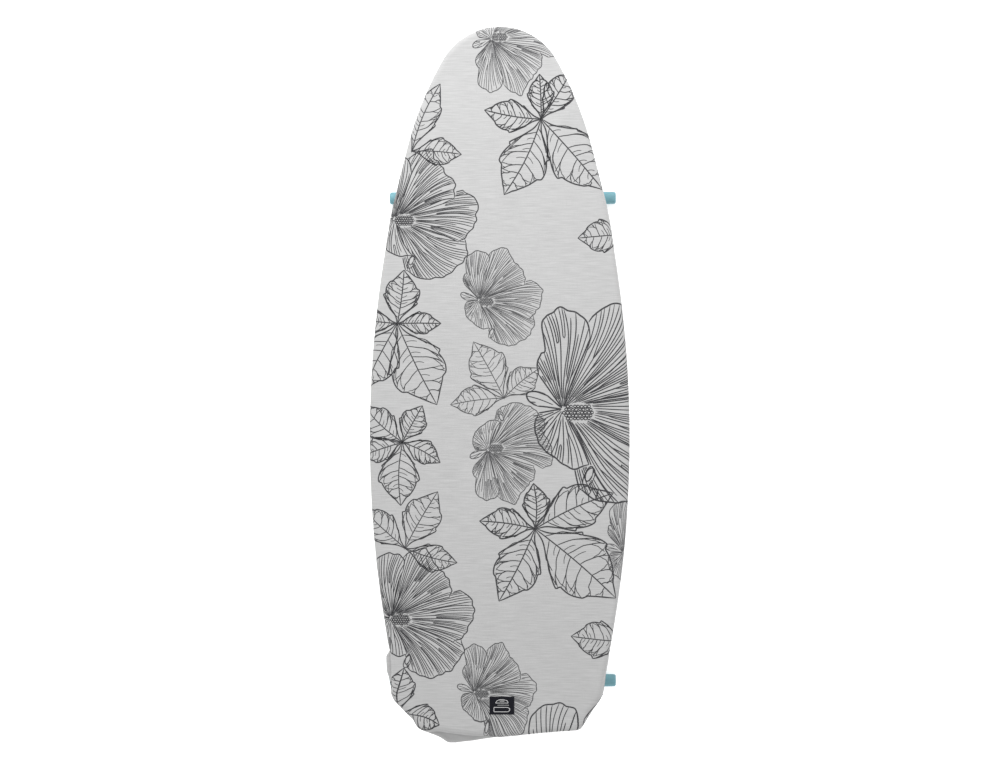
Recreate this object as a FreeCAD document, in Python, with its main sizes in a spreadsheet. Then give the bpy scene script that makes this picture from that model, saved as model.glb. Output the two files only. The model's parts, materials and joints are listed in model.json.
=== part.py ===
# Tabletop ironing board with two folding legs.
#
# The board is a steel rim tube with an expanded-steel panel on top, a felt pad and a cotton cover
# whose elastic hem grips under the rim. Two bent tube legs turn in nylon bushes under cross rails,
# rest open against steel stops, and fold flat into nylon clips.
#
# Frame: +Y towards the round nose, +X to the right seen from above, +Z up. The origin is on the
# table, under the middle of the board. All lengths are in millimetres and all angles in degrees.

import FreeCAD, Part

import math
import os
from types import SimpleNamespace

import Sketcher
from FreeCAD import Placement, Rotation, Vector

DIMENSIONS = {
    # plan of the covered board
    "board_length": 826,
    "board_width": 306,
    "side_radius": 1340,
    "widest_behind_middle": 71,
    "shoulder_radius": 420,
    "shoulder_from_nose": 138,
    "tail_width": 180,
    "tail_depth": 38,
    "corner_radius": 20,
    # layers, from the top down
    "surface_height": 190,
    "cloth": 1,
    "pad_thickness": 5,
    "panel_thickness": 1,
    "rim_diameter": 12,
    "rim_wall": 1,
    # how far each layer's edge lies inside the plan
    "pad_inset": 2,
    "panel_inset": 6,
    "rim_inset": 10,
    "skirt_height": 24,
    "turned_under": 16,
    # hem and its elastic
    "hem_width": 7,
    "hem_depth": 4,
    "elastic_width": 4.5,
    "elastic_depth": 2,
    # expanded-steel panel
    "mesh_long": 50,
    "mesh_short": 24,
    "mesh_strand": 3,
    "mesh_border": 16,
    # cross rails
    "rail_depth": 10,
    "rail_wall": 1.2,
    "hinge_rail_width": 40,
    "clip_rail_width": 24,
    # legs
    "pivot_height": 152,
    "front_pivot": 221,
    "rear_pivot": -376,
    "splay": 3,
    "tube_diameter": 13,
    "tube_wall": 1.2,
    "top_bar_half": 66,
    "foot_bend_half": 112,
    "foot_end_half": 140.5,
    "top_bend": 22,
    "foot_bend": 18,
    # rubber caps
    "cap_radius": 8,
    "cap_length": 16,
    "cap_end": 3,
    "cap_round": 2,
    "foot_height": 7.7,
    # hinge saddles and bushes
    "saddle_half": 36,
    "saddle_width": 16,
    "strap": 1.5,
    "saddle_foot": 20,
    "bush_radius": 9,
    "collar_radius": 10.5,
    "collar_width": 1.5,
    "running_gap": 0.05,
    # stops
    "stop_inner": 60,
    "stop_width": 14,
    "stop_drop": 27,
    "stop_gap": 0.3,
    "stop_foot": 10,
    # storage clips
    "clip_reach": 83,
    "clip_gap": 0.8,
    "clip_wall": 3,
    "clip_length": 14,
    "clip_drop": 9,
    "clip_ear": 8,
    "clip_plate": 2.5,
    # rivets
    "rivet_radius": 2,
    "rivet_head_radius": 3.4,
    "rivet_head": 1.5,
    # woven label
    "label_width": 29,
    "label_depth": 21,
    "label_thickness": 0.4,
    "label_x": 3,
    "label_y": -385,
}

ORIGIN = (-1, 1)
Y_AXIS = -2
START, END, CENTRE = 1, 2, 3
FAR_EDGE = 3  # the far end's circle among the edges of a cylinder


class Size:
    """A number together with the spreadsheet expression that gives it."""

    def __init__(self, value, text):
        self.value = value
        self.text = text

    def join(self, sign, other, value):
        return Size(value, f"({self.text} {sign} {as_size(other).text})")

    def __add__(self, other):
        return self.join("+", other, self.value + as_size(other).value)

    def __sub__(self, other):
        return self.join("-", other, self.value - as_size(other).value)

    def __mul__(self, other):
        return self.join("*", other, self.value * as_size(other).value)

    def __truediv__(self, other):
        return self.join("/", other, self.value / as_size(other).value)

    def __neg__(self):
        return Size(-self.value, f"(-1 * {self.text})")


def as_size(number):
    """Give a plain number as a Size, and leave a Size as it is."""
    return number if isinstance(number, Size) else Size(float(number), repr(float(number)))


def cosine(angle):
    return Size(math.cos(math.radians(angle.value)), f"cos({angle.text})")


def tangent(angle):
    return Size(math.tan(math.radians(angle.value)), f"tan({angle.text})")


def make_sheet(doc):
    """Write the driving dimensions to the spreadsheet and return them as Size values."""
    sheet = doc.addObject("Spreadsheet::Sheet", "Dimensions")
    for row, (name, value) in enumerate(DIMENSIONS.items(), start=1):
        sheet.set(f"A{row}", name)
        sheet.set(f"B{row}", str(value))
        sheet.setAlias(f"B{row}", name)
    doc.recompute()
    return SimpleNamespace(
        **{name: Size(float(value), f"Dimensions.{name}") for name, value in DIMENSIONS.items()}
    )


doc = FreeCAD.newDocument("IroningBoard")
dim = make_sheet(doc)
nodes = {}


# --- basic solids -------------------------------------------------------------------------------


def add(kind, label, **sizes):
    """Add one document object and bind its sizes to the spreadsheet."""
    thing = doc.addObject(kind, label)
    thing.Label = label
    for name, size in sizes.items():
        thing.setExpression(name, as_size(size).text)
    return thing


def put(thing, x=0, y=0, z=0):
    """Bind where an object stands."""
    for axis, size in zip("xyz", (x, y, z)):
        thing.setExpression(f"Placement.Base.{axis}", as_size(size).text)
    return thing


def box(label, x, y, z):
    """A box between the (low, high) pair of each axis."""
    solid = add("Part::Box", label, Length=span(x), Width=span(y), Height=span(z))
    return put(solid, x[0], y[0], z[0])


def span(pair):
    return as_size(pair[1]) - pair[0]


def about(middle, half):
    """The (low, high) pair that lies evenly about a middle."""
    return (as_size(middle) - half, as_size(middle) + half)


def ordered(first, second):
    return (first, second) if first.value < second.value else (second, first)


def rod_x(label, x, y, z, radius):
    """A cylinder along X between the (low, high) pair x."""
    solid = add("Part::Cylinder", label, Radius=radius, Height=span(x))
    solid.Placement = Placement(Vector(), Rotation(Vector(0, 1, 0), 90))
    return put(solid, x[0], y, z)


def rod_z(label, x, y, z, radius):
    """A cylinder along Z between the (low, high) pair z."""
    return put(add("Part::Cylinder", label, Radius=radius, Height=span(z)), x, y, z[0])


def cut(label, base, *tools):
    """Base without the tools."""
    solid = doc.addObject("Part::Cut", label)
    solid.Base = base
    solid.Tool = tools[0] if len(tools) == 1 else fuse(f"{label}_tools", *tools)
    return solid


def fuse(label, *parts):
    solid = doc.addObject("Part::MultiFuse", label)
    solid.Shapes = list(parts)
    return solid


def group(label, parts):
    """Separate solids that share one node."""
    solids = doc.addObject("Part::Compound", label)
    solids.Links = parts
    return solids


def keep(name, thing):
    """Register a finished sub-part under its node name."""
    thing.Label = name
    nodes[name] = thing
    return thing


# --- the board's plan ---------------------------------------------------------------------------


def fix(sketch, axis, place, size):
    """Bind a point's signed distance from the sketch's origin along X or Y."""
    if size.value < 0:
        ends, distance = (*place, *ORIGIN), -size
    else:
        ends, distance = (*ORIGIN, *place), size
    number = sketch.addConstraint(Sketcher.Constraint(f"Distance{axis}", *ends, distance.value))
    sketch.setExpression(f"Constraints[{number}]", distance.text)


def fix_radius(sketch, arc, size):
    number = sketch.addConstraint(Sketcher.Constraint("Radius", arc, size.value))
    sketch.setExpression(f"Constraints[{number}]", size.text)


def arc_between(middle, radius, first, last):
    """An arc that runs anticlockwise from the first angle to the last, in radians."""
    circle = Part.Circle(Vector(*middle, 0), Vector(0, 0, 1), radius)
    return Part.ArcOfCircle(circle, first, last)


def board_outline():
    """The plan of the cover: long side arcs, shoulders, a round nose and a cut-off tail."""
    sketch = doc.addObject("Sketcher::SketchObject", "board_outline")
    side, shoulder = dim.side_radius, dim.shoulder_radius
    tip = dim.board_length / 2
    tail = -tip
    side_x = dim.board_width / 2 - side
    side_y = -dim.widest_behind_middle
    shoulder_y = tip - dim.shoulder_from_nose
    corner_y = tail + dim.tail_depth
    tail_x = dim.tail_width / 2

    # angles on the side arc where the tail's corner and the shoulder are
    corner = math.asin((corner_y.value - side_y.value) / side.value)
    start = math.asin((shoulder_y.value - side_y.value) / side.value)
    middle = Vector(side_x.value, side_y.value, 0)
    outwards = Vector(math.cos(start), math.sin(start), 0)
    shoulder_middle = middle + outwards * (side.value - shoulder.value)
    # the nose arc touches both shoulders from inside
    rise = tip.value - shoulder_middle.y
    nose = (shoulder.value**2 - shoulder_middle.x**2 - rise**2) / (2 * (shoulder.value - rise))
    touch = math.atan2(rise - nose, -shoulder_middle.x)

    def mirrored(centre, radius, first, last):
        return arc_between((-centre.x, centre.y), radius.value, math.pi - last, math.pi - first)

    arcs = sketch.addGeometry(
        [
            arc_between((middle.x, middle.y), side.value, corner, start),
            arc_between((shoulder_middle.x, shoulder_middle.y), shoulder.value, start, touch),
            arc_between((0, tip.value - nose), nose, touch, math.pi - touch),
            mirrored(shoulder_middle, shoulder, start, touch),
            mirrored(middle, side, corner, start),
        ],
        False,
    )
    for before, after in zip(arcs, arcs[1:]):
        sketch.addConstraint(Sketcher.Constraint("Tangent", before, END, after, START))
    right_side, right_shoulder, top, left_shoulder, left_side = arcs

    corner_x = side_x.value + side.value * math.cos(corner)
    points = [
        Vector(-corner_x, corner_y.value, 0),
        Vector(-tail_x.value, tail.value, 0),
        Vector(tail_x.value, tail.value, 0),
        Vector(corner_x, corner_y.value, 0),
    ]
    lines = sketch.addGeometry([Part.LineSegment(a, b) for a, b in zip(points, points[1:])], False)
    chain = [left_side, *lines, right_side]
    for before, after in zip(chain, chain[1:]):
        sketch.addConstraint(Sketcher.Constraint("Coincident", before, END, after, START))

    nose_tip = sketch.addGeometry(Part.Point(Vector(0, tip.value, 0)), True)
    sketch.addConstraint(Sketcher.Constraint("PointOnObject", nose_tip, START, Y_AXIS))
    sketch.addConstraint(Sketcher.Constraint("PointOnObject", nose_tip, START, top))
    fix(sketch, "Y", (nose_tip, START), tip)
    for arc, centre_x in ((right_side, side_x), (left_side, -side_x)):
        fix_radius(sketch, arc, side)
        fix(sketch, "X", (arc, CENTRE), centre_x)
        fix(sketch, "Y", (arc, CENTRE), side_y)
    for arc in (right_shoulder, left_shoulder):
        fix_radius(sketch, arc, shoulder)
    fix(sketch, "Y", (right_side, START), corner_y)
    fix(sketch, "Y", (right_side, END), shoulder_y)
    fix(sketch, "Y", (left_side, START), shoulder_y)
    fix(sketch, "Y", (left_side, END), corner_y)
    tail_line = lines[1]
    for place, corner_of_tail in (((tail_line, START), -tail_x), ((tail_line, END), tail_x)):
        fix(sketch, "X", place, corner_of_tail)
        fix(sketch, "Y", place, tail)
    return sketch


def offset(label, source, distance):
    """The source wire moved outwards by a distance, with round corners."""
    wire = add("Part::Offset2D", label, Value=distance)
    wire.Source = source
    return wire


outline = board_outline()
plan_core = offset("plan_core", outline, -dim.corner_radius)


def plan(label, inset):
    """The board's plan with round corners, moved inwards by the inset."""
    return offset(f"{label}_plan", plan_core, dim.corner_radius - inset)


def slab(label, inset, low, high):
    """A flat plate of the board's plan between two heights."""
    plate = add("Part::Extrusion", label, LengthFwd=high, LengthRev=-as_size(low))
    plate.Base = plan(label, inset)
    plate.DirMode = "Custom"
    plate.Dir = Vector(0, 0, 1)
    plate.Solid = True
    return plate


# --- heights of the layers ----------------------------------------------------------------------

surface = dim.surface_height
pad_top = surface - dim.cloth
panel_top = pad_top - dim.pad_thickness
rim_top = panel_top - dim.panel_thickness
rim_middle = rim_top - dim.rim_diameter / 2
rail_bottom = rim_top - dim.rail_depth
skirt_bottom = surface - dim.skirt_height
hem_bottom = skirt_bottom + dim.cloth / 2 - dim.hem_depth / 2
hem_top = hem_bottom + dim.hem_depth


# --- soft layers --------------------------------------------------------------------------------


def ring(label, inset, width, low, high):
    """A band of a width that follows the plan between two heights."""
    outer = slab(f"{label}_outside", inset, low, high)
    inner = slab(f"{label}_inside", as_size(inset) + width, low - 1, high + 1)
    return cut(label, outer, inner)


def cotton_cover():
    """A cloth skin over the top and the rim, turned under to the hem."""
    outside = slab("cover_outside", 0, skirt_bottom, surface)
    inside = slab("cover_inside", dim.cloth, skirt_bottom + dim.cloth, pad_top)
    mouth = slab("cover_mouth", dim.turned_under, skirt_bottom - 1, skirt_bottom + 2)
    return cut("cotton_cover", outside, inside, mouth, label_box("label_seat"))


def hem():
    """The sewn casing at the cover's edge, with the elastic band that runs inside it."""
    edge = dim.turned_under + dim.running_gap
    casing = ring("hem_casing_body", edge, dim.hem_width, hem_bottom, hem_top)
    side_gap = (dim.hem_width - dim.elastic_width) / 2
    depth_gap = (dim.hem_depth - dim.elastic_depth) / 2
    inset = edge + side_gap
    low, high = hem_bottom + depth_gap, hem_top - depth_gap
    tunnel = ring("hem_tunnel", inset, dim.elastic_width, low, high)
    keep("hem_casing", cut("hem_casing", casing, tunnel))
    keep("hem_elastic", ring("hem_elastic", inset, dim.elastic_width, low, high))


def label_box(label):
    """The woven label's place, pressed flush into the top of the cover near the tail."""
    return box(
        label,
        about(dim.label_x, dim.label_width / 2),
        about(dim.label_y, dim.label_depth / 2),
        (surface - dim.label_thickness, surface),
    )


keep("cotton_cover", cotton_cover())
hem()
keep("cover_label", label_box("cover_label"))
keep("felt_pad", slab("felt_pad", dim.pad_inset, panel_top, pad_top))


# --- steel frame --------------------------------------------------------------------------------


def tube_along(wire, radius, height):
    """A round bar swept once round a closed wire, at a height."""
    spine = wire.copy()
    spine.translate(Vector(0, 0, height))
    edge = spine.OrderedEdges[0]
    start = edge.valueAt(edge.FirstParameter)
    section = Part.Wire(Part.makeCircle(radius, start, edge.tangentAt(edge.FirstParameter)))
    return Part.Wire(spine.OrderedEdges).makePipeShell([section], True, False)


def rim_tube():
    """The round tube under the edge of the panel, welded into a closed ring."""
    path = plan("rim_tube", dim.rim_inset)
    doc.recompute()
    outside = tube_along(path.Shape, dim.rim_diameter.value / 2, rim_middle.value)
    bore = dim.rim_diameter / 2 - dim.rim_wall
    inside = tube_along(path.Shape, bore.value, rim_middle.value)
    tube = doc.addObject("Part::Feature", "rim_tube")
    tube.Shape = outside.cut(inside)
    return tube


def diamond(x, y, half_x, half_y):
    """A closed four-sided wire about a point."""
    ends = ((half_x, 0), (0, half_y), (-half_x, 0), (0, -half_y), (half_x, 0))
    return Part.makePolygon([Vector(x + dx, y + dy, 0) for dx, dy in ends])


def mesh_panel():
    """The expanded-steel panel: staggered diamond openings inside a plain border."""
    edge = plan("mesh_panel", dim.panel_inset)
    border = plan("mesh_border", dim.panel_inset + dim.mesh_border)
    doc.recompute()
    inside = Part.Face(Part.Wire(border.Shape.OrderedEdges))
    half_long = (dim.mesh_long.value - dim.mesh_strand.value) / 2
    half_short = (dim.mesh_short.value - dim.mesh_strand.value) / 2
    columns = math.ceil(dim.board_width.value / dim.mesh_long.value)
    rows = math.ceil(dim.board_length.value / dim.mesh_short.value)
    openings = []
    for row in range(-rows, rows + 1):
        for column in range(-columns, columns + 1):
            x = (column + 0.5 * (row % 2)) * dim.mesh_long.value
            y = row * dim.mesh_short.value / 2
            opening = diamond(x, y, half_long, half_short)
            if all(inside.isInside(v.Point, 0.01, True) for v in opening.Vertexes):
                openings.append(opening)
    sheet = Part.Face([Part.Wire(edge.Shape.OrderedEdges)] + openings, "Part::FaceMakerBullseye")
    panel = doc.addObject("Part::Feature", "mesh_panel")
    panel.Shape = sheet.extrude(Vector(0, 0, dim.panel_thickness.value))
    panel.Placement = Placement(Vector(0, 0, rim_top.value), Rotation())
    return panel


def rivet_holes(label, places, low, high):
    """Clearance holes for rivets at the (x, y) places."""
    radius = dim.rivet_radius + dim.running_gap
    return [rod_z(f"{label}_hole_{i}", x, y, (low, high), radius) for i, (x, y) in enumerate(places)]


def cross_rail(name, y, width, places):
    """A flat rectangular steel tube that joins the two sides of the rim."""
    reach = dim.board_width / 2
    wall = dim.rail_wall
    long_way = about(0, reach)
    outside = box(f"{name}_outside", long_way, about(y, width / 2), (rail_bottom, rim_top))
    bore = box(
        f"{name}_bore",
        (-reach - 1, reach + 1),
        about(y, width / 2 - wall),
        (rail_bottom + wall, rim_top - wall),
    )
    holes = rivet_holes(name, places, rail_bottom - 1, rail_bottom + wall + 1)
    rail = doc.addObject("Part::Common", name)
    rail.Base = cut(f"{name}_long", outside, bore, *holes)
    inner_edge = dim.rim_inset + dim.rim_diameter / 2 + dim.running_gap
    rail.Tool = slab(f"{name}_ends", inner_edge, rail_bottom - 1, rim_top + 1)
    keep(name, rail)


def rivets(name, places, low):
    """Round-headed rivets through a plate of the given lowest height and the rail's web."""
    solids = []
    for number, (x, y) in enumerate(places):
        label = f"{name}_{number}"
        shank_top = rail_bottom + dim.rail_wall
        shank = rod_z(f"{label}_shank", x, y, (low, shank_top), dim.rivet_radius)
        head = rod_z(f"{label}_head", x, y, (low - dim.rivet_head, low), dim.rivet_head_radius)
        tail = rod_z(f"{label}_tail", x, y, (shank_top, shank_top + dim.rivet_head), dim.rivet_head_radius)
        solids.append(fuse(label, shank, head, tail))
    keep(name, group(name, solids))


keep("rim_tube", rim_tube())
keep("mesh_panel", mesh_panel())


# --- legs ---------------------------------------------------------------------------------------

tube_radius = dim.tube_diameter / 2
drop = dim.pivot_height - dim.foot_height
leg_length = drop / cosine(dim.splay)
ENDS = {
    "front": SimpleNamespace(pivot=dim.front_pivot, outward=1),
    "rear": SimpleNamespace(pivot=dim.rear_pivot, outward=-1),
}
SIDES = {"left": -1, "right": 1}


def body_sketch(body, role, name):
    """A sketch on one of the body's own origin planes."""
    sketch = body.newObject("Sketcher::SketchObject", name)
    plane = next(feature for feature in body.Origin.OriginFeatures if feature.Role == role)
    sketch.AttachmentSupport = [(plane, "")]
    sketch.MapMode = "FlatFace"
    return sketch


def bent_path(sketch, start, corners, end):
    """Straight runs through (x, y, bend radius) corners, rounded by tangent arcs."""
    points = [start] + [corner[:2] for corner in corners] + [end]
    places = [Vector(x.value, y.value, 0) for x, y in points]
    trims = []
    for before, here, after, corner in zip(places, places[1:], places[2:], corners):
        turn = (here - before).getAngle(after - here)
        trims.append(corner[2].value * math.tan(turn / 2))
    starts = [0] + trims
    ends = trims + [0]
    runs = []
    for a, b, skip, stop in zip(places, places[1:], starts, ends):
        along = (b - a).normalize()
        runs.append(sketch.addGeometry(Part.LineSegment(a + along * skip, b - along * stop), False))
    for number, (x, y, radius) in enumerate(corners):
        before, after = runs[number], runs[number + 1]
        bend(sketch, before, after, radius)
        mark = sketch.addGeometry(Part.Point(places[number + 1]), True)
        fix(sketch, "X", (mark, START), x)
        fix(sketch, "Y", (mark, START), y)
        sketch.addConstraint(Sketcher.Constraint("PointOnObject", mark, START, before))
        sketch.addConstraint(Sketcher.Constraint("PointOnObject", mark, START, after))
    for place, (x, y) in (((runs[0], START), start), ((runs[-1], END), end)):
        fix(sketch, "X", place, x)
        fix(sketch, "Y", place, y)


def bend(sketch, before, after, radius):
    """Join two runs of a path by an arc that is tangent to both."""
    first, last = sketch.Geometry[before], sketch.Geometry[after]
    arrive = (first.EndPoint - first.StartPoint).normalize()
    leave = (last.EndPoint - last.StartPoint).normalize()
    left_turn = arrive.cross(leave).z > 0
    inward = Vector(-arrive.y, arrive.x, 0) * (1 if left_turn else -1)
    middle = first.EndPoint + inward * radius.value
    from_, to = first.EndPoint - middle, last.StartPoint - middle
    if not left_turn:
        from_, to = to, from_
    begin, finish = math.atan2(from_.y, from_.x), math.atan2(to.y, to.x)
    if finish < begin:
        finish += 2 * math.pi
    arc = sketch.addGeometry(arc_between((middle.x, middle.y), radius.value, begin, finish), False)
    near, far = (START, END) if left_turn else (END, START)
    sketch.addConstraint(Sketcher.Constraint("Tangent", before, END, arc, near))
    sketch.addConstraint(Sketcher.Constraint("Tangent", arc, far, after, START))
    fix_radius(sketch, arc, radius)


def leg_tube(name, end):
    """One tube bent five ways: foot, upright, top bar, upright, foot."""
    body = doc.addObject("PartDesign::Body", name)
    body.Placement = Placement(Vector(), Rotation(Vector(1, 0, 0), end.outward * dim.splay.value))
    put(body, 0, end.pivot, dim.pivot_height)

    path = body_sketch(body, "XZ_Plane", f"{name}_path")
    foot, knee, bar = dim.foot_end_half, dim.foot_bend_half, dim.top_bar_half
    corners = [
        (-knee, -leg_length, dim.foot_bend),
        (-bar, as_size(0), dim.top_bend),
        (bar, as_size(0), dim.top_bend),
        (knee, -leg_length, dim.foot_bend),
    ]
    bent_path(path, (-foot, -leg_length), corners, (foot, -leg_length))

    section = body_sketch(body, "YZ_Plane", f"{name}_section")
    section.setExpression("AttachmentOffset.Base.z", (-foot).text)
    for radius in (tube_radius, tube_radius - dim.tube_wall):
        circle = Part.Circle(Vector(0, -leg_length.value, 0), Vector(0, 0, 1), radius.value)
        number = section.addGeometry(circle, False)
        section.addConstraint(Sketcher.Constraint("PointOnObject", number, CENTRE, Y_AXIS))
        fix(section, "Y", (number, CENTRE), -leg_length)
        fix_radius(section, number, radius)
    doc.recompute()

    pipe = body.newObject("PartDesign::AdditivePipe", f"{name}_pipe")
    pipe.Profile = section
    pipe.Spine = (path, [f"Edge{i + 1}" for i in range(len(path.Shape.Edges))])
    body.Tip = pipe
    keep(name, body)


def foot_cap(name, end, side):
    """A rubber cap over a foot, with a round closed end and a flat sole."""
    y = end.pivot + drop * tangent(dim.splay) * end.outward
    length = dim.cap_length
    tip = dim.foot_end_half + dim.cap_end
    blank = rod_x(f"{name}_blank", (0, length), 0, 0, dim.cap_radius)
    rounded = doc.addObject("Part::Fillet", f"{name}_rounded")
    rounded.Base = blank
    rounded.Edges = [(FAR_EDGE, dim.cap_round.value, dim.cap_round.value)]
    bore = rod_x(f"{name}_bore", (-1, length - dim.cap_end), 0, 0, tube_radius + dim.running_gap)
    sole = box(
        f"{name}_sole",
        (-1, length + 1),
        about(0, dim.cap_radius),
        (-2 * dim.cap_radius.value, -dim.foot_height),
    )
    cap = cut(name, rounded, bore, sole)
    turn = Rotation(Vector(0, 0, 1), 0 if side > 0 else 180)
    cap.Placement = Placement(Vector(), turn)
    put(cap, (tip - length) * side, y, dim.foot_height)
    keep(name, cap)


# --- hinges, stops and clips --------------------------------------------------------------------


def saddle_rivet_places(end):
    places = []
    across = (dim.saddle_foot + dim.collar_radius) / 2
    for side in SIDES.values():
        for way in (-1, 1):
            places.append((dim.saddle_half * side, end.pivot + across * way))
    return places


def stop_rivet_places(end):
    y = stop_face(end) + (dim.stop_foot / 2 + dim.strap) * end.outward
    return [((dim.stop_inner + dim.stop_width / 2) * side, y) for side in SIDES.values()]


def stop_face(end):
    """Where the stop's face meets the open leg, at the lower edge of the stop."""
    lean = dim.stop_drop * tangent(dim.splay) + tube_radius / cosine(dim.splay) + dim.stop_gap
    return end.pivot + lean * end.outward


def hinge_saddle(name, end, side):
    """A steel strap round the bush, with a foot each side riveted under the rail."""
    x = about(dim.saddle_half * side, dim.saddle_width / 2)
    y, z = end.pivot, dim.pivot_height
    inside = dim.bush_radius + dim.running_gap
    outside = inside + dim.strap
    strap_body = fuse(
        f"{name}_body",
        rod_x(f"{name}_round", x, y, z, outside),
        box(f"{name}_sides", x, about(y, outside), (z, rail_bottom)),
        box(f"{name}_feet", x, about(y, dim.saddle_foot), (rail_bottom - dim.strap, rail_bottom)),
    )
    wide = (x[0] - 1, x[1] + 1)
    places = [place for place in saddle_rivet_places(end) if place[0].value * side > 0]
    holes = rivet_holes(name, places, rail_bottom - dim.strap - 1, rail_bottom + 1)
    saddle = cut(
        name,
        strap_body,
        rod_x(f"{name}_seat", wide, y, z, inside),
        box(f"{name}_throat", wide, about(y, inside), (z, rail_bottom + 1)),
        *holes,
    )
    keep(name, saddle)


def hinge_bush(name, end, side):
    """A nylon sleeve round the leg's top bar, with a collar at each end of the strap."""
    y, z = end.pivot, dim.pivot_height
    middle = dim.saddle_half * side
    half = dim.saddle_width / 2 + dim.running_gap
    collar_half = half + dim.collar_width
    sleeve = rod_x(f"{name}_sleeve", about(middle, collar_half), y, z, dim.bush_radius)
    collars = []
    for way in (-1, 1):
        faces = ordered(middle + half * way, middle + collar_half * way)
        collars.append(rod_x(f"{name}_collar_{way + 1}", faces, y, z, dim.collar_radius))
    bore = rod_x(f"{name}_bore", about(middle, collar_half + 1), y, z, tube_radius + dim.running_gap)
    keep(name, cut(name, fuse(f"{name}_blank", sleeve, *collars), bore))


def leg_stop(name, end, side):
    """A steel angle riveted under the rail; the open leg leans on its upright face."""
    x = ordered(dim.stop_inner * side, (dim.stop_inner + dim.stop_width) * side)
    face = stop_face(end)
    back = face + dim.strap * end.outward
    toe = back + dim.stop_foot * end.outward
    low = dim.pivot_height - dim.stop_drop
    plate = box(f"{name}_plate", x, ordered(face, back), (low, rail_bottom))
    foot = box(f"{name}_foot", x, ordered(face, toe), (rail_bottom - dim.strap, rail_bottom))
    places = [place for place in stop_rivet_places(end) if place[0].value * side > 0]
    holes = rivet_holes(name, places, rail_bottom - dim.strap - 1, rail_bottom + 1)
    keep(name, cut(name, fuse(f"{name}_angle", plate, foot), *holes))


def clip_middle(end, side):
    """Where the folded leg's upright crosses the clip rail."""
    slope = (dim.foot_bend_half - dim.top_bar_half) / leg_length
    x = dim.top_bar_half + slope * dim.clip_reach
    return x * side, end.pivot - dim.clip_reach * end.outward


def clip_turn(end, side):
    """How far a clip turns about Z to line up with the folded upright."""
    lean = math.atan2(dim.foot_bend_half.value - dim.top_bar_half.value, leg_length.value)
    return math.degrees(lean) * end.outward * side


def clip_ear_middle():
    return tube_radius + dim.clip_gap + dim.clip_wall + dim.clip_ear / 2


def clip_rivet_places(end):
    places = []
    for side in SIDES.values():
        x, y = clip_middle(end, side)
        turn = math.radians(clip_turn(end, side))
        for way in (-1, 1):
            reach = clip_ear_middle() * way
            places.append((x + reach * math.cos(turn), y + reach * math.sin(turn)))
    return places


def storage_clip(name, end, side):
    """A nylon cradle, open downwards, that the upright of the folded leg lies in."""
    slot = tube_radius + dim.clip_gap
    outside = slot + dim.clip_wall
    ear = outside + dim.clip_ear
    length = dim.clip_length / 2
    roof = dim.pivot_height + slot - rail_bottom
    low = dim.pivot_height - dim.clip_drop - rail_bottom
    block = box(f"{name}_block", about(0, outside), about(0, length), (low, 0))
    ears = box(f"{name}_ears", about(0, ear), about(0, length - 1), (-dim.clip_plate, 0))
    channel = box(f"{name}_channel", about(0, slot), about(0, length + 1), (low - 1, roof))
    holes = [
        rod_z(f"{name}_hole_{way}", clip_ear_middle() * way, 0, (-dim.clip_plate - 1, 1),
              dim.rivet_radius + dim.running_gap)
        for way in (-1, 1)
    ]
    clip = cut(name, fuse(f"{name}_body", block, ears), channel, *holes)
    x, y = clip_middle(end, side)
    clip.Placement = Placement(Vector(), Rotation(Vector(0, 0, 1), clip_turn(end, side)))
    put(clip, x, y, rail_bottom)
    keep(name, clip)


for where, end in ENDS.items():
    hinge_places = saddle_rivet_places(end) + stop_rivet_places(end)
    cross_rail(f"{where}_hinge_rail", end.pivot, dim.hinge_rail_width, hinge_places)
    clip_rail_y = end.pivot - dim.clip_reach * end.outward
    cross_rail(f"{where}_clip_rail", clip_rail_y, dim.clip_rail_width, clip_rivet_places(end))
    rivets(f"{where}_hinge_rivets", hinge_places, rail_bottom - dim.strap)
    rivets(f"{where}_clip_rivets", clip_rivet_places(end), rail_bottom - dim.clip_plate)
    leg_tube(f"{where}_leg_tube", end)
    for side_name, side in SIDES.items():
        hinge_saddle(f"{where}_saddle_{side_name}", end, side)
        hinge_bush(f"{where}_bush_{side_name}", end, side)
        leg_stop(f"{where}_stop_{side_name}", end, side)
        storage_clip(f"{where}_clip_{side_name}", end, side)
        foot_cap(f"{where}_cap_{side_name}", end, side)


# --- check and write ----------------------------------------------------------------------------

doc.recompute()
for thing in doc.Objects:
    if "Invalid" in thing.State or "Error" in thing.State:
        raise RuntimeError(f"{thing.Label} failed: {thing.State}")
for name, thing in nodes.items():
    if thing.Shape.isNull() or not thing.Shape.isValid():
        raise RuntimeError(f"{name} has no valid shape")

os.makedirs("parts", exist_ok=True)
for name, thing in nodes.items():
    thing.Shape.exportStep(f"parts/{name}.step")
    print(f"{name}: {len(thing.Shape.Solids)} solid(s), {thing.Shape.Volume:.0f} mm3")
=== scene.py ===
"""Tabletop ironing board: cloth, print, felt, mesh, label, caps and materials on the CAD frame.

Plan coordinates are in millimetres in the CAD's frame: +Y to the nose, +X to the right from above.
Meshes are turned into metres as they are made.
"""

import json
import math

import bmesh
import bpy
import numpy as np
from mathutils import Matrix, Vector
from mathutils.bvhtree import BVHTree


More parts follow.
